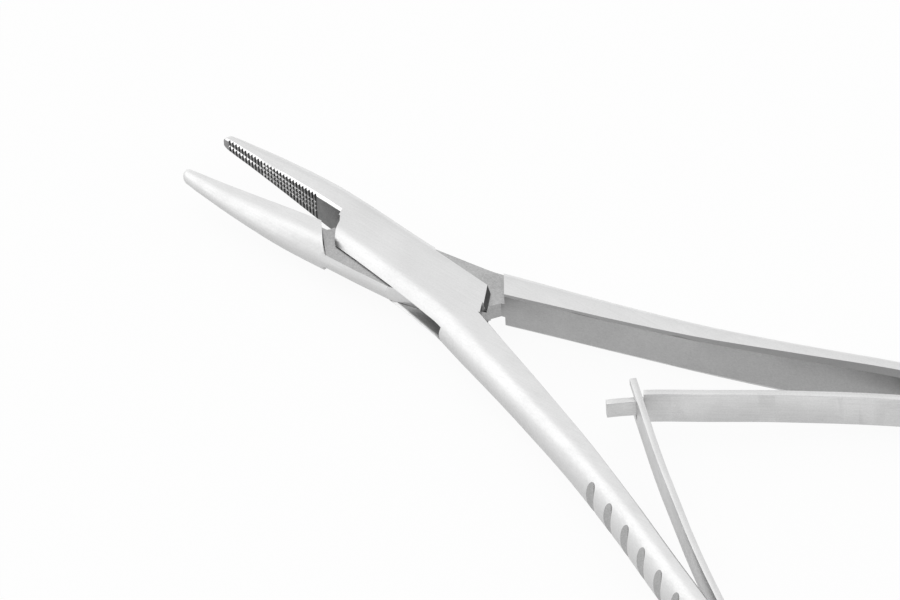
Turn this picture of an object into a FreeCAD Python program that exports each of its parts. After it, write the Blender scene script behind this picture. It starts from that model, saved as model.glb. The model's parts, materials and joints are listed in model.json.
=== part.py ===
import FreeCAD, Part
import math
import os

# Mathieu needle holder, 14 cm: two forged halves in a box lock, opened by a pair
# of interlocked leaf springs. Lengths in mm. Each half is drawn in its closed place
# (jaw faces on the plane y = 0) and then turned about the pivot to the open one.
# +X runs toward the handles, +Y toward the upper handle, +Z is the lateral side up.

V = FreeCAD.Vector

HALF_OPENING = 5.75       # each half's turn from closed to open, degrees
PIVOT_X = -32.6           # the pivot, when the open tool's middle is at x = 0
BOX_H = 2.9               # half thickness of the box, across z
GRIP_W = 4.12             # half width of the handles at the grip, as forged
GRIP_FLAT = 0.02          # ground off each side there, for the tool to lie on
GRIP_H = round(GRIP_W - GRIP_FLAT, 6)   # what is left, and the resting plane
JAW_SHUT_GAP = 0.02       # between the two jaw faces when shut

PLATE_H = 1.2             # half thickness of the middle plate in the box
PLATE_PLAY = 0.05         # running clearance on each side of that plate
WALL_GAP = 0.90           # jaw step to the front of the cheeks, when shut
REAR_GAP = 0.55           # the same at the rear

PIN_R = 1.75
PIN_PLAY = 0.05           # radial running clearance in the middle plate

TOOTH_FROM = -36.9        # serrated length of the jaw faces
TOOTH_TO = -19.6
TOOTH_PITCH = 0.64
TOOTH_DEPTH = 0.19
TOOTH_ROWS = 0.80         # pitch of the lengthways grooves

GROOVE_FIRST = 48.9       # grip grooves: place along x, pitch, radius and depth
GROOVE_PITCH = 4.55
GROOVE_COUNT = 10
GROOVE_R = 1.05
GROOVE_DEPTH = 0.72

SPRING_T = 0.95
SPRING_H = 2.55           # half width of the leaves
TONGUE_H = 1.25           # half width of the tongue
TONGUE_LEN = 3.7          # past the crossing
TONGUE_DROOP = 0.45       # its tip curls in by this much
SHOULDER = 1.4            # the tongue starts this far before the crossing
CROSSING = (39.1, -0.71)   # where the two leaves' outer faces cross, in the open tool
LEAF_LEAN = 0.53          # both leaves lean toward the lower handle there by this much
FORK_H = 1.45             # half width of the slot that the tongue runs in
FORK_OVER = 2.3           # prongs past the crossing
FORK_SLOT = 1.9           # slot on the near side of the crossing
SEAT_AT = V(86.0, 21.2, 0)
SEAT_SLOPE = 0.17
SEAT_FROM = 82.5
SEAT_TO = 94.6
SPRING_END = 93.3
RIVET_X = 90.5
RIVET_R = 1.0
RIVET_DEPTH = 2.2
RIVET_HEAD_R = 1.75
RIVET_HEAD_T = 0.6

LAP_GAP = 0.34            # ratchet arms: flat of each to the middle plane
RATCHET_TIP = 0.05        # tooth tips to the middle plane
RATCHET_TEETH = 4
RATCHET_PITCH = 1.1
LAP_FROM = 6.4            # the arms are half thick from here to their ends
BEND_R = 4.6

NOSE_TO = -37.0           # the jaw's rounded nose ends here
BOX_TO = 10.0             # the box ends and the handle begins
JAW_STEP = 2.6            # spacing of the sections that the jaw and box run through
HANDLE_STEP = 4.2         # the same along the handle
CHEEK_TOP = 3.55          # upper edge of the cheeks behind the pivot
MOUTH_RELIEF = 0.24       # the cheeks' lower edge is eased by this much at the slot

# one side, from the jaw's tip to the grip: x, y of the inner face, thickness,
# half width, share of it that is flat on the side, bevel on the inner edges
SIDE = [
    (-38.10, 0.0, 0.85, 0.55, 0.45, 0.14),
    (-37.80, 0.0, 1.20, 0.88, 0.45, 0.22),
    (-37.00, 0.0, 1.52, 1.12, 0.45, 0.30),
    (-35.00, 0.0, 2.00, 1.28, 0.45, 0.36),
    (-32.00, 0.0, 2.64, 1.48, 0.45, 0.42),
    (-29.00, 0.0, 3.20, 1.72, 0.45, 0.46),
    (-26.00, 0.0, 3.66, 1.98, 0.45, 0.48),
    (-22.50, 0.0, 4.12, 2.32, 0.45, 0.50),
    (-19.00, 0.0, 4.42, BOX_H - 0.28, 0.46, 0.50),
    (-15.50, 0.0, 4.56, BOX_H - 0.08, 0.48, 0.46),
    (-12.00, 0.0, 4.64, BOX_H, 0.50, 0.38),
    (-6.00, 0.0, 4.74, BOX_H, 0.52, 0.30),
    (0.00, 0.0, 4.96, BOX_H, 0.53, 0.30),
    (6.00, 0.0, 5.30, BOX_H, 0.54, 0.30),
    (10.00, 0.12, 5.44, BOX_H, 0.55, 0.30),
    (14.30, 0.95, 5.42, BOX_H, 0.55, 0.30),
    (17.00, 1.60, 5.32, BOX_H, 0.55, 0.32),
    (20.00, 2.35, 5.08, BOX_H + 0.02, 0.55, 0.34),
    (25.00, 3.52, 4.84, BOX_H + 0.08, 0.54, 0.38),
    (33.00, 5.50, 4.48, BOX_H + 0.18, 0.52, 0.44),
    (42.00, 7.85, 4.08, 3.32, 0.50, 0.54),
    (50.00, 10.25, 3.76, 3.64, 0.47, 0.66),
    (58.00, 12.75, 3.60, GRIP_W - 0.20, 0.44, 0.78),
    (64.00, 14.72, 3.55, GRIP_H - 0.04, 0.43, 0.86),
    (69.00, 16.27, 3.52, GRIP_W, 0.42, 0.90),
    (74.00, 17.78, 3.46, GRIP_W, 0.42, 0.90),
    (80.00, 19.60, 3.40, GRIP_W, 0.42, 0.90),
    (84.00, 20.66, 3.40, GRIP_W, 0.42, 0.90),
    (88.00, 21.45, 3.40, GRIP_W, 0.42, 0.88),
    (92.00, 22.08, 3.40, GRIP_W, 0.42, 0.85),
    (94.50, 22.32, 3.38, GRIP_W, 0.42, 0.80),
]
# the bend and the ratchet arm: turn in degrees or length along the arm,
# thickness, half width
BEND = [(22, 3.35, GRIP_W), (45, 3.28, GRIP_H - 0.08),
        (68, 3.20, GRIP_W - 0.28), (92, 3.10, GRIP_W - 0.50)]
ARM = [(6.0, 2.95, GRIP_W - 0.70), (13.0, 2.80, GRIP_H - 0.84),
       (21.0, 2.65, GRIP_W - 1.00), (22.0, 2.20, GRIP_W - 1.32)]

# outer line of a leaf spring in the closed place, from the crossing to its seat
LEAF = [(46.6, 0.95), (53.0, 4.87), (57.5, 7.48), (62.2, 10.15), (68.0, 13.26),
        (74.0, 16.24), (78.0, 18.15), (81.0, 19.50), (84.0, 20.62)]


def section(x, y, ang, thick, half, flat, bevel):
    """A D section at (x, y): flat on its inner side, round on the outer one."""
    n = V(-math.sin(ang), math.cos(ang), 0)
    o = V(x, y, 0)

    def p(t, z):
        return o + n * t + V(0, 0, z)

    a = thick * flat
    arc = []
    for i in range(9):
        w = math.pi * (0.5 - i / 8.0)
        arc.append(p(a + (thick - a) * math.cos(w), half * math.sin(w)))
    curve = Part.BSplineCurve()
    curve.interpolate(arc)
    edges = [
        Part.LineSegment(p(0, bevel - half), p(0, half - bevel)).toShape(),
        Part.LineSegment(p(0, half - bevel), p(bevel * 0.6, half)).toShape(),
        Part.LineSegment(p(bevel * 0.6, half), p(a, half)).toShape(),
        curve.toShape(),
        Part.LineSegment(p(a, -half), p(bevel * 0.6, -half)).toShape(),
        Part.LineSegment(p(bevel * 0.6, -half), p(0, bevel - half)).toShape(),
    ]
    return Part.Wire(edges)


def between(x):
    """The values of SIDE at any x, on a smooth curve through its stations."""
    i = 0
    while i < len(SIDE) - 2 and x > SIDE[i + 1][0]:
        i += 1
    a, b = SIDE[i], SIDE[i + 1]
    span = b[0] - a[0]
    t = (x - a[0]) / span
    out = [x]
    for k in range(1, 6):
        rise = (b[k] - a[k]) / span
        starts = []
        for j in (i, i + 1):
            if j == 0 or j == len(SIDE) - 1:
                starts.append(rise)
                continue
            p, q, r = SIDE[j - 1], SIDE[j], SIDE[j + 1]
            before = (q[k] - p[k]) / (q[0] - p[0])
            after = (r[k] - q[k]) / (r[0] - q[0])
            starts.append((before * (r[0] - q[0]) + after * (q[0] - p[0])) / (r[0] - p[0]))
        m0, m1 = starts[0] * span, starts[1] * span
        out.append(a[k] * (1 + 2 * t) * (1 - t) ** 2 + m0 * t * (1 - t) ** 2
                   + b[k] * t * t * (3 - 2 * t) + m1 * t * t * (t - 1))
    return out


def lean(x):
    """The inner face's slope at x, as an angle."""
    if x < 8:
        return 0.0
    lo, hi = max(x - 0.5, SIDE[0][0]), min(x + 0.5, SIDE[-1][0])
    return math.atan2(between(hi)[1] - between(lo)[1], hi - lo)


def sections(x0, x1, step):
    """Sections at even steps from x0 to x1."""
    count = max(3, int(round((x1 - x0) / step)))
    out = []
    for i in range(count + 1):
        x = x0 + (x1 - x0) * i / count
        s = between(x)
        out.append(section(x, s[1], lean(x), s[2], s[3], s[4], s[5]))
    return out


def upper_side():
    """The whole upper side: jaw, half of the box, handle, bend and ratchet arm."""
    nose = [section(s[0], s[1], 0.0, s[2], s[3], s[4], s[5])
            for s in SIDE if s[0] <= NOSE_TO]
    jaw = sections(NOSE_TO, BOX_TO, JAW_STEP)
    grip = sections(BOX_TO, SIDE[-1][0], HANDLE_STEP)
    nose[-1] = jaw[0]
    grip[0] = jaw[-1]
    x, y, ang = SIDE[-1][0], SIDE[-1][1], lean(SIDE[-1][0])
    centre = V(x, y, 0) - V(-math.sin(ang), math.cos(ang), 0) * BEND_R
    bend = [grip[-1]]
    for turn, thick, half in BEND:
        a = ang - math.radians(turn)
        n = V(-math.sin(a), math.cos(a), 0)
        o = centre + n * BEND_R
        bend.append(section(o.x, o.y, a, thick, half, 0.44, 0.7))
    along = V(math.cos(a), math.sin(a), 0)
    arm = [bend[-1]]
    for length, thick, half in ARM:
        q = o + along * length
        arm.append(section(q.x, q.y, a, thick, half, 0.45, 0.5))
    solids = [Part.makeLoft(w, True, False) for w in (nose, jaw, grip, bend)]
    return solids[0].fuse(solids[1:] + [Part.makeLoft(arm, True, True)])


def prism(points, z0, z1):
    """An upright prism on a plan outline."""
    face = Part.Face(Part.makePolygon([V(x, y, z0) for x, y in points + points[:1]]))
    return face.extrude(V(0, 0, z1 - z0))


def mirror_y(shape):
    return shape.mirror(V(0, 0, 0), V(0, 1, 0))


def jaw_teeth(side):
    """Crosswise and lengthways V grooves in the upper jaw's face."""
    cutters = []
    count = int((TOOTH_TO - TOOTH_FROM) / TOOTH_PITCH)
    half = TOOTH_PITCH * 0.5
    for i in range(count + 1):
        x = TOOTH_FROM + i * TOOTH_PITCH
        tri = [(x - half * 0.92, -0.01), (x + half * 0.92, -0.01), (x, TOOTH_DEPTH)]
        cutters.append(prism(tri, -4, 4))
    shape = side.cut(cutters)
    rows = []
    for k in range(-3, 4):
        z = k * TOOTH_ROWS
        start = TOOTH_FROM - 0.3
        for s in SIDE:
            if s[0] < TOOTH_TO and s[3] - s[5] < abs(z) + 0.35:
                start = max(start, s[0] + 1.5)
        if start > TOOTH_TO - 1.5:
            continue
        h = TOOTH_ROWS * 0.40
        tri = Part.makePolygon([V(start, -0.01, z - h), V(start, -0.01, z + h),
                                V(start, TOOTH_DEPTH * 0.9, z), V(start, -0.01, z - h)])
        rows.append(Part.Face(tri).extrude(V(TOOTH_TO - start, 0, 0)))
    return shape.cut(rows)


def groove_cutters():
    """Cylinders across the outer side of the upper handle."""
    out = []
    for i in range(GROOVE_COUNT):
        x = GROOVE_FIRST + i * GROOVE_PITCH
        s, ang = between(x), lean(x)
        n = V(-math.sin(ang), math.cos(ang), 0)
        c = V(x, s[1], 0) + n * (s[2] + GROOVE_R - GROOVE_DEPTH)
        out.append(Part.makeCylinder(GROOVE_R, 12, c - V(0, 0, 6), V(0, 0, 1)))
    return out


def mouth_relief(s):
    """Wedges that ease the cheeks' lower edge, at the slot of half height s."""
    wires = []
    for x, share in ((-14.5, 0.1), (-11.0, 0.8), (-7.0, 1.0), (0.0, 1.0), (4.0, 1.0),
                     (7.5, 0.7), (11.5, 0.1)):
        v = between(x)
        flat = v[2] * v[4]
        edge = v[1] * -1 + flat + (v[2] - flat) * math.sqrt(1 - (s / v[3]) ** 2)
        deep = MOUTH_RELIEF * share
        pts = [V(x, -edge - 0.6, s - 0.02), V(x, -edge + 2 * deep, s - 0.02),
               V(x, -edge - 0.6, s + deep + 0.3 * share)]
        wires.append(Part.makePolygon(pts + pts[:1]))
    wedge = Part.makeLoft(wires, True, True)
    return [wedge, wedge.mirror(V(0, 0, 0), V(0, 0, 1))]


def seat_cutter():
    """The flat that the spring's foot lies on, cut in the inner face."""
    def at(x, d):
        return (x, SEAT_AT.y + SEAT_SLOPE * (x - SEAT_AT.x) - d)
    box = prism([at(SEAT_FROM, 0), at(SEAT_TO, 0), at(SEAT_TO, 2), at(SEAT_FROM, 2)],
                -SPRING_H - 0.3, SPRING_H + 0.3)
    return box


def seat_frame():
    """Middle of the rivet on the seat, and the direction into the handle."""
    c = V(RIVET_X, SEAT_AT.y + SEAT_SLOPE * (RIVET_X - SEAT_AT.x), 0)
    n = V(-SEAT_SLOPE, 1, 0)
    return c, n.normalize()


def shapes_of_box():
    """Plan outlines, in the closed place, for the half whose jaw is the upper one.

    cheek_front and cheek_rear trim its cheeks, slot is the other half's room.
    """
    front = [(-15.4 + WALL_GAP, 0), (-13.9 + WALL_GAP, -1.6), (-13.1 + WALL_GAP, -3.1),
             (-12.2 + WALL_GAP, -4.2), (-11.2 + WALL_GAP, -4.7)]
    first, last = front[0][0], front[-1][0] + 0.6
    cheek_front = [(-60, 0.5), (first - 0.3, 0.5)] + front
    cheek_front += [(last, -6.4), (last, -40), (-60, -40)]
    cheek_rear = [(14.0, -0.80), (10.6, CHEEK_TOP), (0.6, CHEEK_TOP), (-1.4, 4.9),
                  (-1.4, 60), (130, 60), (130, -0.80)]
    slot = [(-15.4, 0), (-11.4, 5.2), (-10.2, 6.8), (-10.2, 60), (130, 60),
            (130, -0.80), (14.0 + REAR_GAP * 0.4, -0.80), (9.9 + REAR_GAP, -6.1),
            (9.9 + REAR_GAP - 1.0, -7.4), (9.9 + REAR_GAP - 1.0, -40),
            (-60, -40), (-60, 0)]
    return cheek_front, cheek_rear, slot


def half_with_upper_jaw(with_cheeks):
    """One half in the closed place, its jaw above and its handle below.

    With cheeks it is the female half, else the male one with the middle plate.
    """
    up = upper_side()
    low = mirror_y(up)
    cheek_front, cheek_rear, slot = shapes_of_box()
    grip = prism([(-60, -60), (130, -60), (130, 60), (-60, 60)], -GRIP_H, GRIP_H)

    up = up.common(prism([(-60, -1), (20, -1), (20, 20), (-60, 20)], -9, 9))
    up = jaw_teeth(up)
    shave = prism([(-60, -1), (-13.0, -1), (-13.0, JAW_SHUT_GAP / 2),
                   (-60, JAW_SHUT_GAP / 2)], -9, 9)
    up = up.cut(shave)
    up = up.cut(prism(cheek_rear, -9, 9))

    low = low.common(prism([(-20, -60), (130, -60), (130, 30), (-20, 30)], -9, 9))
    low = low.cut(prism(cheek_front, -9, 9))
    for c in groove_cutters():
        low = low.cut(mirror_y(c))
    low = low.cut(mirror_y(seat_cutter()))
    c, n = seat_frame()
    hole = Part.makeCylinder(RIVET_R, RIVET_DEPTH + 0.3, c - n * 0.3, n)
    low = low.cut(mirror_y(hole))

    web = prism([(-14.6, 0.6), (-13.9, -0.9), (13.7, -0.9), (13.2, -0.2),
                 (12.4, 0.9), (-14.0, 0.9)], -BOX_H + 0.01, BOX_H - 0.01)
    body = up.fuse([low, web])
    s = PLATE_H + PLATE_PLAY
    if with_cheeks:
        body = body.cut(prism(slot, -s, s))
        body = body.cut(mouth_relief(s))
    else:
        # the plate ends as the cheeks do; outside the plate it makes the cheeks' room
        body = body.cut([prism(slot, PLATE_H, 9), prism(slot, -9, -PLATE_H)])
    bore = PIN_R if with_cheeks else PIN_R + PIN_PLAY
    body = body.cut(Part.makeCylinder(bore, 20, V(0, 0, -10), V(0, 0, 1)))
    return body.common(grip)


def finish_ratchet(half, lower):
    """Half laps the arm's end, which lies below (lower) or above the middle plane."""
    sign = -1 if lower else 1
    z0 = LAP_GAP - 12 if sign > 0 else -LAP_GAP
    half = half.cut(Part.makeBox(30, 60, 12, V(85, -LAP_FROM, z0)))
    end = half.common(Part.makeBox(30, 1, 20, V(85, -0.5, -10))).BoundBox
    x0 = end.XMin + 0.3
    width = end.XMax - end.XMin - 0.9
    root = LAP_GAP + 0.9
    comb = [V(x0, 3.9, sign * root), V(x0, 3.9, sign * (LAP_GAP - 0.02))]
    for i in range(RATCHET_TEETH):
        y = 3.4 - i * RATCHET_PITCH
        comb.append(V(x0, y, sign * (LAP_GAP - 0.02)))
        comb.append(V(x0, y, sign * RATCHET_TIP))
        comb.append(V(x0, y - RATCHET_PITCH * 0.9, sign * (LAP_GAP - 0.02)))
    comb.append(V(x0, y - RATCHET_PITCH * 1.3, sign * (LAP_GAP - 0.02)))
    comb.append(V(x0, y - RATCHET_PITCH * 1.3, sign * root))
    comb = Part.Face(Part.makePolygon(comb + comb[:1])).extrude(V(width, 0, 0))
    return half.fuse(comb)


def leaf(tongue):
    """A leaf spring for the upper handle, in the closed place."""
    seat = [(x, SEAT_AT.y + SEAT_SLOPE * (x - SEAT_AT.x) - 0.004)
            for x in (86.6, 87.5, 88.7, 90.5, SPRING_END)]
    # the crossing in this leaf's closed place, and its lean, which the seat takes up
    side = 1 if tongue else -1
    t = math.radians(HALF_OPENING)
    cx, cy = CROSSING[0], CROSSING[1] * side
    cross = (cx * math.cos(t) + cy * math.sin(t), cy * math.cos(t) - cx * math.sin(t))

    def share(x):
        return (LEAF[-1][0] - x) / (LEAF[-1][0] - LEAF[0][0])

    line = [cross]
    for x, y in LEAF:
        line.append((x, y - side * LEAF_LEAN * share(x) ** 2))
    line += seat
    d = V(line[1][0] - cross[0], line[1][1] - cross[1], 0).normalize()
    reach = TONGUE_LEN if tongue else FORK_OVER
    start = V(cross[0], cross[1], 0) - d * reach
    if tongue:
        start = start - V(-d.y, d.x, 0) * TONGUE_DROOP
    pts = [start] + [V(x, y, 0) for x, y in line]
    outer = Part.BSplineCurve()
    outer.interpolate(pts)
    # inner line: the outer one moved by the thickness along its normal
    inner_pts = []
    for p in pts:
        u = outer.parameter(p)
        tan = outer.tangent(u)[0]
        inner_pts.append(p + V(tan.y, -tan.x, 0) * SPRING_T)
    inner = Part.BSplineCurve()
    inner.interpolate(inner_pts)
    e1 = outer.toShape()
    e2 = inner.toShape()
    e3 = Part.LineSegment(pts[0], inner_pts[0]).toShape()
    e4 = Part.LineSegment(pts[-1], inner_pts[-1]).toShape()
    face = Part.Face(Part.Wire([e3, e2, e4, e1]))
    face.translate(V(0, 0, -SPRING_H))
    body = face.extrude(V(0, 0, 2 * SPRING_H))
    # a frame at the crossing: d along the leaf, n across it
    n = V(-d.y, d.x, 0)
    c = V(cross[0], cross[1], 0)

    def slab(s0, s1, z0, z1):
        q = [c + d * s0 + n * 3, c + d * s1 + n * 3, c + d * s1 - n * 3, c + d * s0 - n * 3]
        return prism([(v.x, v.y) for v in q], z0, z1)

    if tongue:
        body = body.cut([slab(-9, SHOULDER, TONGUE_H, 9), slab(-9, SHOULDER, -9, -TONGUE_H)])
    else:
        body = body.cut(slab(-9, FORK_SLOT, -FORK_H, FORK_H))
    r, m = seat_frame()
    body = body.cut(Part.makeCylinder(RIVET_R, 6, r - m * 3, m))
    return body


def rivet():
    """Shank in the handle, low round head on the leaf."""
    c, n = seat_frame()
    face = c - n * SPRING_T
    shank = Part.makeCylinder(RIVET_R, RIVET_DEPTH + SPRING_T, face, n)
    rise = RIVET_HEAD_T * 0.45
    head = Part.makeCylinder(RIVET_HEAD_R, rise, face, n * -1)
    crown = Part.makeCone(RIVET_HEAD_R, RIVET_HEAD_R * 0.62, RIVET_HEAD_T - rise,
                          face - n * rise, n * -1)
    return head.fuse([crown, shank])


def place(shape, turn):
    """From the closed place to the open one, and up onto the resting plane."""
    out = shape.copy()
    out.rotate(V(0, 0, 0), V(0, 0, 1), turn)
    out.translate(V(PIVOT_X, 0, GRIP_H))
    return out


def save(shape, name):
    shape.exportStep("parts/" + name + ".step")


def main():
    os.makedirs("parts", exist_ok=True)
    female = half_with_upper_jaw(True)
    male = half_with_upper_jaw(False)
    female = finish_ratchet(female, True)
    male = finish_ratchet(male, False)
    male = mirror_y(male)
    save(place(female, -HALF_OPENING), "female_half")
    save(place(male, HALF_OPENING), "male_half")
    pin = Part.makeCylinder(PIN_R, 2 * BOX_H, V(0, 0, -BOX_H), V(0, 0, 1))
    save(place(pin, -HALF_OPENING), "pivot_pin")
    save(place(leaf(True), HALF_OPENING), "tongue_spring")
    save(place(mirror_y(leaf(False)), -HALF_OPENING), "slotted_spring")
    save(place(rivet(), HALF_OPENING), "upper_spring_rivet")
    save(place(mirror_y(rivet()), -HALF_OPENING), "lower_spring_rivet")


main()
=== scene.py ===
import json
import math

import bmesh
import bpy
from mathutils import Matrix, Vector


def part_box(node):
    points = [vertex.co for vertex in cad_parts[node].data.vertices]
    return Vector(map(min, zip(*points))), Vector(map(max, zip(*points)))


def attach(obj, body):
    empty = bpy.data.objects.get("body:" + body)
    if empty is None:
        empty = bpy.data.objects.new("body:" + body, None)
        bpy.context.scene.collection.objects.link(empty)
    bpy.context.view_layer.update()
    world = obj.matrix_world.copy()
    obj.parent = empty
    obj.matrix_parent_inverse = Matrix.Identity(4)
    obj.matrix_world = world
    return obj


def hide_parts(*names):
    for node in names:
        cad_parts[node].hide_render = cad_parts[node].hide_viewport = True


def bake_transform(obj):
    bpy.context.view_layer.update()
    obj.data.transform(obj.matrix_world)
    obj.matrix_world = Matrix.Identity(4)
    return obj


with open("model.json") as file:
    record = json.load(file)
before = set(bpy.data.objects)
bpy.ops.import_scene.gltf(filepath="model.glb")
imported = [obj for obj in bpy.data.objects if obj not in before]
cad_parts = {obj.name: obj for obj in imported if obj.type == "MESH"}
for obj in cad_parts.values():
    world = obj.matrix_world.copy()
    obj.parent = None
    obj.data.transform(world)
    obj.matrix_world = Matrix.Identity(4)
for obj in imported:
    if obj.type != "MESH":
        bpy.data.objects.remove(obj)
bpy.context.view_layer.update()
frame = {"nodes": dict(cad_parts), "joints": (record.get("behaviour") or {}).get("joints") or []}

# Mathieu needle holder in satin stainless steel, lying on its side with the jaws open.
# Metres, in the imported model's frame: +X toward the handles, +Z the side facing up.
# Where a place is given in a half's closed place, it is in mm from the pivot, with the
# tool shut, the jaw faces on y = 0 and the upper jaw above it.
MM = 0.001
BOX_LOCK = frame["joints"][0]
PIVOT = Vector(BOX_LOCK["pos_m"])
HALF_OPENING = math.radians(-BOX_LOCK["range_deg"][0] / 2)

# Where the finishes of a forging meet in the closed place, along x where nothing is said.
TEETH_TO = -19.7           # the serrated length ends, and a ground flat follows
JAW_FACE_TO = -13.5
JAW_FACE_DEPTH = 0.35      # the teeth and the bevels lie this near to y = 0
NOSE_TO = -26.5            # where the outer lengthways cuts haven't begun yet,
NOSE_REACH = 0.8           # and the bevels lie further than this from the middle
LOCK_FROM = -16
LOCK_TO = 15
LOCK_REACH = 4.2           # the walls in the lock lie this near to y = 0
STEP_FROM = -1.8           # the short step behind the pivot, in plate and cheeks
STEP_TO = 0.9
STEP_DEPTH = (2.9, 5.6)    # from y = 0
PLATE_REACH = 1.3          # the flats of plate and slot lie this near to the middle
HANDLE_FROM = 12.5
GRIP_FROM = 46
GRIP_TO = 92
BACK_REACH = 0.3           # the handle's back itself is upright too, this near its middle

# How a face is told by where it faces, in shares of its normal: its tilt is the share
# along z, and inward is toward the other half.
UPRIGHT = 0.002            # walls that are cut straight through tilt no more than this,
LEVEL = 0.999              # and the flats of plate and slot no less than this
BEVEL_TILT = (0.49, 0.56)  # the jaw's bevels, and the flanks of the lengthways cuts
NOSE_BEVEL_TILT = 0.4      # at the nose a bevel tilts less in places, down to this
BEVEL_INWARD = 0.8
TOOTH_INWARD = 0.25
FLAT_INWARD = 0.85         # a handle's inner face, and not the bevels beside it
STEP_ALONG = 0.3           # the step's walls face along x by more than this
OUTWARD = -0.05            # the grooves are on the side that faces away

# The walls in the lock whose feet stand out a little, as the cutter leaves them, so that
# they show from above, where they carry painted shade: the cheeks' rear wall and the step
# of the lower jaw. In the closed place: a wall's two ends, its foot's height from the
# middle, and how far that stands out.
FOOT_OF_WALL = {
    "female_half": (Vector((14.0, -0.80, 0)), Vector((10.6, 3.55, 0)), 1.25, 0.38),
    "male_half": (Vector((-15.4, 0.0, 0)), Vector((-11.4, -5.2, 0)), 1.20, 0.34),
}
NEAR = 0.03                # two places this close are one

# Behind the pivot the plate's lower edge runs out in a long slope, so that the slot's
# mouth opens from a point. In the closed place: the slope's start over the edge's round,
# where it ends, and the foot of the plate's own short step.
PLATE_H = 1.2              # half thickness of the plate
SLOPE_START = ((-1.10, -4.715, -PLATE_H), (-1.34, -4.865, -PLATE_H / 2),
               (-1.40, -4.91, 0.0), (-1.34, -4.865, PLATE_H / 2),
               (-1.10, -4.715, PLATE_H))
SLOPE_END = (5.6, -3.55)
STEP_FOOT = (0.6, -3.55)

REAL_EDGE = math.radians(24)     # an edge sharper than this is one of the real piece
LEAF_EDGE = math.radians(60)     # and one sharper than this is an edge of the cut strip
LEAF_ROUND = 0.12                # mm
LEAF_CUT = 1.5                   # mm between the cuts across a leaf

# The camera: degrees round the tool, above it and rolled, its distance, how far right of
# the pivot and below it the picture's middle lies, and the lens in mm.
AZIMUTH = math.radians(42.65)
ELEVATION = math.radians(43.6)
ROLL = math.radians(-3.0)
DISTANCE = 1429 * MM
FRAMED_RIGHT = 4.73 * MM
FRAMED_DOWN = 3.28 * MM
LENS = 422.8

# The light tent is plain white at level 1 but for three places: the way to each, its
# inner and outer rim in degrees from there, and what it adds to the level.
TENT = (
    ((-0.45, 0.60, 0.66), 5, 50, -0.09),       # high behind the tool, a little greyer
    ((-0.80, -0.42, 0.40), 5, 75, 0.38),       # one large lamp, on the camera's left
    ((0.30, -0.85, 0.42), 10, 50, -0.80),      # dark at the camera and on its lower left
)
FLOOR_TO_CAMERA = 0.93     # share of the floor that glows white to the camera, and the
FLOOR_TO_STEEL = 0.65      # same to the steel; the rest is lit paper and takes shadow
FLOOR_GLOW = (1.3, 0.8)    # its glow in the steel: far off, and straight under the tool, dimmer there as painted shadow
GLOW_STEEP = 0.7           # from this steepness on it counts as straight under
FLOOR_SIZE = 6.0
FLOOR_BELOW = 0.02 * MM    # clear of the tool's resting face

# The satin face of the steel.
CLOUD = 7.0                # mm, the soft unevenness of a face finished by hand
NOISE_SUM = (1.05, 1.95)   # where the sum of the three noises mostly lies
SHEEN_PLAY = 0.05          # roughness goes up and down by this much over a face
PIT_SHADE_DEPTH = (0.03, 0.12)   # mm under the jaw face, where the teeth's painted shade begins and is full


def linear(hexa):
    """An sRGB hex colour as linear RGBA."""
    out = []
    for i in (1, 3, 5):
        c = int(hexa[i:i + 2], 16) / 255
        out.append(c / 12.92 if c <= 0.04045 else ((c + 0.055) / 1.055) ** 2.4)
    return (*out, 1.0)


def add(tree, kind, settings=None, inputs=None):
    """One node, with its settings, values and links."""
    n = tree.nodes.new(kind)
    for key, value in (settings or {}).items():
        setattr(n, key, value)
    for key, value in (inputs or {}).items():
        if isinstance(value, bpy.types.NodeSocket):
            tree.links.new(value, n.inputs[key])
        else:
            n.inputs[key].default_value = value
    return n


def blank(name):
    """A material with an empty node tree, and its output node."""
    mat = bpy.data.materials.new(name)
    mat.use_nodes = True
    mat.node_tree.nodes.clear()
    return mat, mat.node_tree, mat.node_tree.nodes.new("ShaderNodeOutputMaterial")


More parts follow.
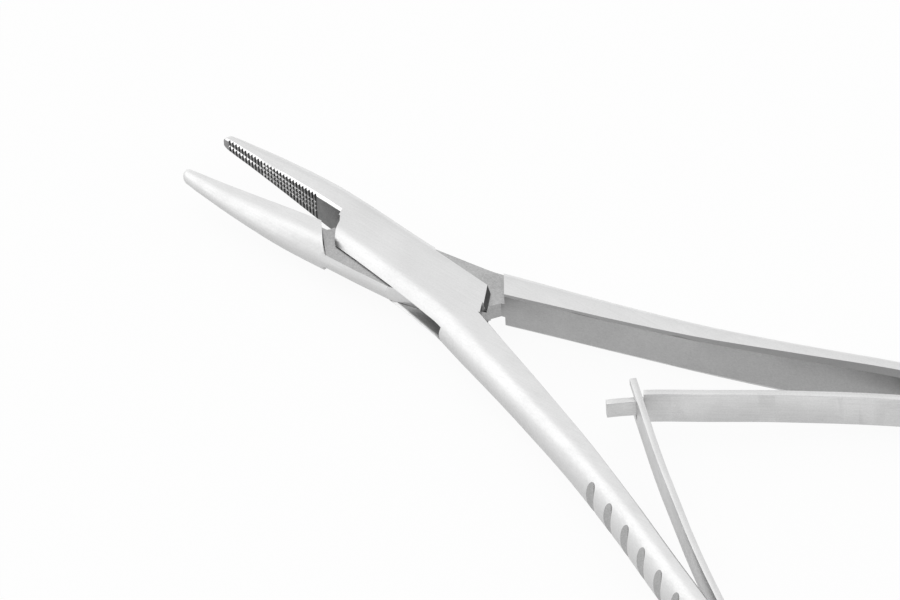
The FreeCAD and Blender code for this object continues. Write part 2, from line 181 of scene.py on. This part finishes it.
def steel(name, light, dark, rough, lay=0.0, lay_mm=(0.3, 0.3), grit_mm=0.22,
          relief_mm=0.0012, pit_shade=None):
    """Stainless steel with a satin face: a fine lay of scratches over blasted grit.

    lay is the turn of the scratches about Z, lay_mm their length and spacing, grit_mm
    the width of the grit's marks and relief_mm the depth of both. The last argument is for
    the teeth: the way into the jaw, and the colour of the painted shade at the bottoms of
    their cuts.
    """
    mat, tree, out = blank(name)
    at = add(tree, "ShaderNodeTexCoord").outputs["Object"]
    turned = add(tree, "ShaderNodeMapping", inputs={
        "Vector": at, "Rotation": (0.0, 0.0, -lay)})
    drawn = add(tree, "ShaderNodeMapping", inputs={
        "Vector": turned.outputs["Vector"],
        "Scale": (1 / (lay_mm[0] * MM), 1 / (lay_mm[1] * MM), 1 / (lay_mm[1] * MM))})
    scratch = add(tree, "ShaderNodeTexNoise", inputs={
        "Vector": drawn.outputs["Vector"], "Scale": 1.0, "Detail": 3.0, "Roughness": 0.6})
    grit = add(tree, "ShaderNodeTexNoise", inputs={
        "Vector": at, "Scale": 1 / (grit_mm * MM), "Detail": 2.0, "Roughness": 0.5})
    cloud = add(tree, "ShaderNodeTexNoise", inputs={
        "Vector": at, "Scale": 1 / (CLOUD * MM), "Detail": 3.0, "Roughness": 0.55})
    grain = add(tree, "ShaderNodeMath", {"operation": "ADD"}, {
        0: scratch.outputs["Fac"], 1: grit.outputs["Fac"]})
    mixed = add(tree, "ShaderNodeMath", {"operation": "ADD"}, {
        0: grain.outputs["Value"], 1: cloud.outputs["Fac"]})
    shade = add(tree, "ShaderNodeMapRange", inputs={
        "Value": mixed.outputs["Value"], "From Min": NOISE_SUM[0],
        "From Max": NOISE_SUM[1]})
    colour = add(tree, "ShaderNodeMix", {"data_type": "RGBA"}, {
        "Factor": shade.outputs["Result"], "A": linear(dark), "B": linear(light)})
    # painted shade: the deeper a place lies in the teeth's cuts, the darker
    if pit_shade:
        inward, pit_shade_colour = pit_shade
        depth = add(tree, "ShaderNodeVectorMath", {"operation": "DOT_PRODUCT"}, {
            0: at, 1: tuple(inward)})
        face_at = inward.dot(PIVOT)
        share = add(tree, "ShaderNodeMapRange", inputs={
            "Value": depth.outputs["Value"], "From Min": face_at + PIT_SHADE_DEPTH[0] * MM,
            "From Max": face_at + PIT_SHADE_DEPTH[1] * MM})
        colour = add(tree, "ShaderNodeMix", {"data_type": "RGBA"}, {
            "Factor": share.outputs["Result"], "A": colour.outputs["Result"],
            "B": linear(pit_shade_colour)})
    sheen = add(tree, "ShaderNodeMapRange", inputs={
        "Value": mixed.outputs["Value"], "From Min": NOISE_SUM[0],
        "From Max": NOISE_SUM[1], "To Min": rough + SHEEN_PLAY,
        "To Max": rough - SHEEN_PLAY})
    bump = add(tree, "ShaderNodeBump", inputs={
        "Height": grain.outputs["Value"], "Strength": 1.0, "Distance": relief_mm * MM})
    face = add(tree, "ShaderNodeBsdfPrincipled", inputs={
        "Base Color": colour.outputs["Result"], "Metallic": 1.0,
        "Roughness": sheen.outputs["Result"], "Normal": bump.outputs["Normal"]})
    tree.links.new(face.outputs["BSDF"], out.inputs["Surface"])
    return mat


# Forged stainless steel, ground and then glass-bead blasted: a pale, even satin grey.
# The beads leave pits of about 0.05 mm, drawn at 0.25 mm so that they show at all.
forged = steel("satin_forged_stainless_steel", "#E6E6E6", "#DADADA", 0.33,
               lay_mm=(5.0, 0.25), grit_mm=0.25)
# The flat behind the teeth: ground and never blasted, so it is the darkest flat.
jaw_face = steel("ground_jaw_face", "#8E8E8E", "#767676", 0.34)
# Plate and slot: ground, and rubbed by the other half, with a mottled grey sheen.
lock_face = steel("ground_lock_face", "#C6C6C6", "#A2A2A2", 0.32)
# The handles' inner faces: flat, and a little darker than the blasted outside.
inner_face = steel("handle_inner_face", "#C4C4C4", "#B2B2B2", 0.33,
                   lay_mm=(0.5, 0.3), relief_mm=0.0014)
# The grip grooves, cut across the handle: painted shade, a darker grey in the cuts.
groove = steel("grip_groove_painted_shade", "#CACACA", "#AEAEAE", 0.24)
# The bevel round each jaw face and the flanks of the lengthways cuts: a painted highlight,
# near white, so that they are the brightest lines on the tool.
bevel_highlight = steel("jaw_bevel_painted_highlight", "#FCFCFC", "#F2F2F2", 0.26,
                 lay_mm=(2.0, 0.2), relief_mm=0.0006)
# Inside the lock: painted shade, a dark grey on the walls where shade falls, with the cutter's
# duller face.
lock_shade = steel("lock_walls_painted_shade", "#6E6E6E", "#565656", 0.42)
# Rivet heads: turned and lightly polished, so they shine a little more.
turned_head = steel("turned_stainless_rivet", "#DADADA", "#C8C8C8", 0.24,
                    grit_mm=0.20, relief_mm=0.0008)


def cut_teeth(half, side):
    """The crosswise teeth: pale at the ridges, with painted shade darkening the bottoms of the
    cuts.
    """
    into = Vector((math.sin(HALF_OPENING), side * math.cos(HALF_OPENING), 0.0))
    return steel("teeth_painted_pit_shade_" + half, "#A4A4A4", "#8E8E8E", 0.34,
                 pit_shade=(into, "#303030"))


def rolled_strip(name, lay):
    """Tempered spring strip: rolled, so its fine lay runs along the leaf."""
    return steel("rolled_spring_steel_" + name, "#E8E8E8", "#D6D6D6", 0.32,
                 lay=math.radians(lay), lay_mm=(6.0, 0.22))


def mark_real_edges(bm):
    """Smooth shading between the real piece's edges, and none over them."""
    for e in bm.edges:
        if len(e.link_faces) == 2:
            e.smooth = e.calc_face_angle(0.0) < REAL_EDGE


def merged_copy(node, name):
    """A CAD node's mesh, joined at its edges."""
    mesh = frame["nodes"][node].data.copy()
    mesh.name = name
    bm = bmesh.new()
    bm.from_mesh(mesh)
    bmesh.ops.remove_doubles(bm, verts=bm.verts, dist=1e-7)
    for f in bm.faces:
        f.smooth = True
    mark_real_edges(bm)
    return mesh, bm


def finished(mesh, bm, name):
    """The bmesh as a piece of the scene."""
    bm.to_mesh(mesh)
    bm.free()
    obj = bpy.data.objects.new(name, mesh)
    bpy.context.scene.collection.objects.link(obj)
    return obj


def coat(obj, *mats):
    """The piece's materials, in the order of its material numbers."""
    numbers = [p.material_index for p in obj.data.polygons]
    obj.data.materials.clear()
    for m in mats:
        obj.data.materials.append(m)
    for p, n in zip(obj.data.polygons, numbers):
        p.material_index = min(n, len(mats) - 1)


class Wall:
    """A wall in the lock, in its half's closed place."""

    # A face belongs to the wall if it looks its way by more than this share, and lies
    # this near to its plane, behind and in front, and to its two ends, in mm.
    LOOKS = 0.9
    BEHIND = 0.1
    IN_FRONT = 0.4
    BEFORE = 0.2
    PAST = 0.3

    def __init__(self, node, sign):
        self.start, end, self.foot, self.stand = FOOT_OF_WALL[node]
        self.length = (end - self.start).length
        self.along = (end - self.start).normalized()
        self.facing = Vector((self.along.y, -self.along.x, 0)) * sign

    def from_start(self, at):
        """How far a place lies along the wall and in front of it."""
        off = at - self.start
        return off.dot(self.along), off.dot(self.facing)

    def is_foot(self, at):
        """Whether a corner lies on the wall's foot, and not at its start."""
        along, front = self.from_start(at)
        return (abs(front) < NEAR and abs(abs(at.z) - self.foot) < NEAR
                and NEAR < along < self.length + NEAR)

    def holds(self, at, way):
        """Whether a face belongs to the wall, by its middle and the way it faces."""
        along, front = self.from_start(at)
        return (way.dot(self.facing) > self.LOOKS and -self.BEHIND < front < self.IN_FRONT
                and -self.BEFORE < along < self.length + self.PAST)


# The finishes of a forging, with its painted shade and highlight, in the order of its material
# numbers.
FINISHES = ("forged", "jaw_face", "lock_face", "inner_face", "groove", "teeth",
            "lock_shade", "bevel_highlight")


def finish_at(at, way, sign, wall):
    """The finish of a face of a forging, by its place and the way it faces when shut."""
    inward = -way.y * sign if at.x < 0 else way.y * sign
    tilt = abs(way.z)
    upright = tilt < UPRIGHT
    in_jaw = at.x < JAW_FACE_TO and abs(at.y) < JAW_FACE_DEPTH
    in_lock = LOCK_FROM < at.x < LOCK_TO
    # the lock's walls are painted dark as shade
    if wall.holds(at, way):
        return "lock_shade"
    # the jaw's bevels get the painted highlight
    if in_jaw and inward > BEVEL_INWARD and BEVEL_TILT[0] < tilt < BEVEL_TILT[1]:
        return "bevel_highlight"
    if in_jaw and inward > TOOTH_INWARD and tilt < BEVEL_TILT[0]:
        if at.x > TEETH_TO:
            return "jaw_face"
        beside_teeth = at.x < NOSE_TO and abs(at.z) > NOSE_REACH
        return "forged" if beside_teeth and tilt > NOSE_BEVEL_TILT else "teeth"
    if in_lock and tilt > LEVEL and abs(at.z) < PLATE_REACH:
        return "lock_face"
    if at.x > HANDLE_FROM and inward > FLAT_INWARD:
        return "inner_face"
    in_step = STEP_FROM < at.x < STEP_TO and STEP_DEPTH[0] < abs(at.y) < STEP_DEPTH[1]
    # the step's walls are painted dark as shade
    if upright and in_step and abs(way.x) > STEP_ALONG:
        return "lock_shade"
    if upright and in_lock and abs(at.y) < LOCK_REACH:
        return "lock_face"
    on_back = inward < -FLAT_INWARD and abs(at.z) < BACK_REACH
    # the grooves are painted darker as shade
    if upright and GRIP_FROM < at.x < GRIP_TO and inward < OUTWARD and not on_back:
        return "groove"
    return "forged"


def run_out(bm, opened):
    """The slope at the end of the plate's lower edge: a closed wedge on the plate."""
    corners = list(SLOPE_START)
    for z in (-PLATE_H, PLATE_H):
        corners += [(*SLOPE_END, z), (*STEP_FOOT, z)]
    verts = [bm.verts.new(PIVOT + opened @ Vector(c) * MM) for c in corners]
    hull = bmesh.ops.convex_hull(bm, input=verts)["geom"]
    faces = [f for f in hull if isinstance(f, bmesh.types.BMFace)]
    bmesh.ops.recalc_face_normals(bm, faces=faces)
    for f in faces:
        f.smooth = True
        for e in f.edges:
            e.smooth = e.calc_face_angle(0.0) < REAL_EDGE


def forging(node, body, sign):
    """One forged half. Its jaw face and lock are ground, its inner handle darker and the rest
    blasted; the lock's walls, the grooves and the teeth's cuts carry painted shade, and the
    jaw's bevels a painted highlight.
    """
    mesh, bm = merged_copy(node, node + "_forging")
    shut = Matrix.Rotation(HALF_OPENING * sign, 3, "Z")
    opened = Matrix.Rotation(-HALF_OPENING * sign, 3, "Z")
    wall = Wall(node, sign)
    for v in bm.verts:
        if wall.is_foot(shut @ (v.co - PIVOT) / MM):
            v.co += opened @ wall.facing * wall.stand * MM
    bm.normal_update()
    for f in bm.faces:
        at = shut @ (f.calc_center_median() - PIVOT) / MM
        f.material_index = FINISHES.index(finish_at(at, shut @ f.normal, sign, wall))
    if node == "male_half":
        run_out(bm, opened)
    piece = finished(mesh, bm, node + "_forging")
    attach(piece, body)
    coat(piece, forged, jaw_face, lock_face, inner_face, groove, cut_teeth(node, sign),
         lock_shade, bevel_highlight)
    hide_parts(node)


def break_edges(bm):
    """Small rounds on a leaf's edges, as the strip gets from tumbling."""
    bmesh.ops.dissolve_limit(bm, angle_limit=math.radians(0.5), verts=bm.verts[:],
                             edges=bm.edges[:])
    rims = [e for e in bm.edges
            if len(e.link_faces) == 2 and e.calc_face_angle(0.0) > LEAF_EDGE]
    bmesh.ops.bevel(bm, geom=rims, offset=LEAF_ROUND * MM, offset_type="OFFSET",
                    segments=2, profile=0.5, affect="EDGES", clamp_overlap=True,
                    material=-1)
    mark_real_edges(bm)


def leaf(node, strip):
    """A leaf spring, cut across at close steps so that it can bend evenly.
    """
    mesh, bm = merged_copy(node, node + "_leaf")
    break_edges(bm)
    low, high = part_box(node)
    x = low.x + LEAF_CUT * MM
    while x < high.x:
        geom = bm.verts[:] + bm.edges[:] + bm.faces[:]
        bmesh.ops.bisect_plane(bm, geom=geom, dist=1e-8, plane_co=(x, 0, 0),
                               plane_no=(1, 0, 0))
        x += LEAF_CUT * MM
    piece = finished(mesh, bm, node + "_leaf")
    coat(piece, strip)
    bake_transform(piece)
    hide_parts(node)


def white_floor():
    """A plain white sheet: almost white to the camera, with a trace of shadow."""
    bpy.ops.mesh.primitive_plane_add(size=FLOOR_SIZE, location=(0, 0, 0))
    floor = bpy.context.object
    floor.name = "floor"
    floor.data.transform(Matrix.Translation((0, 0, -FLOOR_BELOW)))
    mat, tree, out = blank("white_paper_sweep")
    rays = add(tree, "ShaderNodeLightPath")
    sheet = add(tree, "ShaderNodeBsdfDiffuse", inputs={"Color": linear("#EFEFEF")})
    # painted shadow: in the steel the sheet glows dimmer straight under the tool than far from
    # it
    seen_from = add(tree, "ShaderNodeSeparateXYZ", inputs={
        "Vector": add(tree, "ShaderNodeNewGeometry").outputs["Incoming"]})
    shadowed_glow = add(tree, "ShaderNodeMapRange", inputs={
        "Value": seen_from.outputs["Z"], "From Min": 0.0, "From Max": GLOW_STEEP,
        "To Min": FLOOR_GLOW[0], "To Max": FLOOR_GLOW[1]})
    strength = add(tree, "ShaderNodeMix", {"data_type": "FLOAT"}, {
        "Factor": rays.outputs["Is Glossy Ray"], "A": 1.0, "B": shadowed_glow.outputs["Result"]})
    glow = add(tree, "ShaderNodeEmission", inputs={
        "Color": (1, 1, 1, 1), "Strength": strength.outputs["Result"]})
    to_steel = add(tree, "ShaderNodeMath", {"operation": "MULTIPLY"}, {
        0: rays.outputs["Is Glossy Ray"], 1: FLOOR_TO_STEEL})
    share = add(tree, "ShaderNodeMath", {"operation": "MULTIPLY_ADD"}, {
        0: rays.outputs["Is Camera Ray"], 1: FLOOR_TO_CAMERA,
        2: to_steel.outputs["Value"]})
    seen = add(tree, "ShaderNodeMixShader", inputs={
        0: share.outputs["Value"], 1: sheet.outputs["BSDF"], 2: glow.outputs["Emission"]})
    tree.links.new(seen.outputs["Shader"], out.inputs["Surface"])
    coat(floor, mat)


def light_tent():
    """The room: white to the camera, and to the steel a pale dome, uneven as TENT says."""
    world = bpy.data.worlds.new("light_tent")
    bpy.context.scene.world = world
    world.use_nodes = True
    tree = world.node_tree
    tree.nodes.clear()
    out = tree.nodes.new("ShaderNodeOutputWorld")
    rays = add(tree, "ShaderNodeLightPath")
    way = add(tree, "ShaderNodeTexCoord").outputs["Generated"]
    level = 1.0
    for direction, inner, outer, gain in TENT:
        toward = add(tree, "ShaderNodeVectorMath", {"operation": "DOT_PRODUCT"}, {
            0: way, 1: tuple(Vector(direction).normalized())})
        share = add(tree, "ShaderNodeMapRange", {"interpolation_type": "SMOOTHSTEP"}, {
            "Value": toward.outputs["Value"], "From Min": math.cos(math.radians(outer)),
            "From Max": math.cos(math.radians(inner))})
        level = add(tree, "ShaderNodeMath", {"operation": "MULTIPLY_ADD"}, {
            0: share.outputs["Result"], 1: gain, 2: level}).outputs["Value"]
    seen = add(tree, "ShaderNodeMix", {"data_type": "FLOAT"}, {
        "Factor": rays.outputs["Is Camera Ray"], "A": level, "B": 1.0})
    sky = add(tree, "ShaderNodeBackground", inputs={
        "Color": (1, 1, 1, 1), "Strength": seen.outputs["Result"]})
    tree.links.new(sky.outputs["Background"], out.inputs["Surface"])


def photo_camera():
    """The camera, at the photograph's viewing angle."""
    back = Vector((math.sin(AZIMUTH) * math.cos(ELEVATION),
                   -math.cos(AZIMUTH) * math.cos(ELEVATION), math.sin(ELEVATION)))
    level_right = Vector((math.cos(AZIMUTH), math.sin(AZIMUTH), 0.0))
    level_up = back.cross(level_right)
    right = level_right * math.cos(ROLL) + level_up * math.sin(ROLL)
    up = level_up * math.cos(ROLL) - level_right * math.sin(ROLL)
    lens = bpy.data.cameras.new("camera")
    lens.sensor_width = 36.0
    lens.lens = LENS
    lens.clip_start = 0.05
    lens.clip_end = 20.0
    camera = bpy.data.objects.new("camera", lens)
    bpy.context.scene.collection.objects.link(camera)
    eye = PIVOT + right * FRAMED_RIGHT - up * FRAMED_DOWN + back * DISTANCE
    turn = Matrix((right, up, back)).transposed().to_4x4()
    camera.matrix_world = Matrix.Translation(eye) @ turn
    bpy.context.scene.camera = camera


# The two forgings turn opposite ways from shut to open.
forging("female_half", "female", 1)
forging("male_half", "male", -1)

# The leaf springs, each with the lay of its strip along it, in degrees about Z.
leaf("tongue_spring", rolled_strip("tongue", 38.5))
leaf("slotted_spring", rolled_strip("slotted", -39.7))

# The pin is ground flush and blasted with the cheeks. The rivets keep their turned heads.
coat(frame["nodes"]["pivot_pin"], forged)
for rivet in ("upper_spring_rivet", "lower_spring_rivet"):
    coat(frame["nodes"][rivet], turned_head)

white_floor()
light_tent()
photo_camera()
bpy.context.scene.view_settings.view_transform = "Standard"
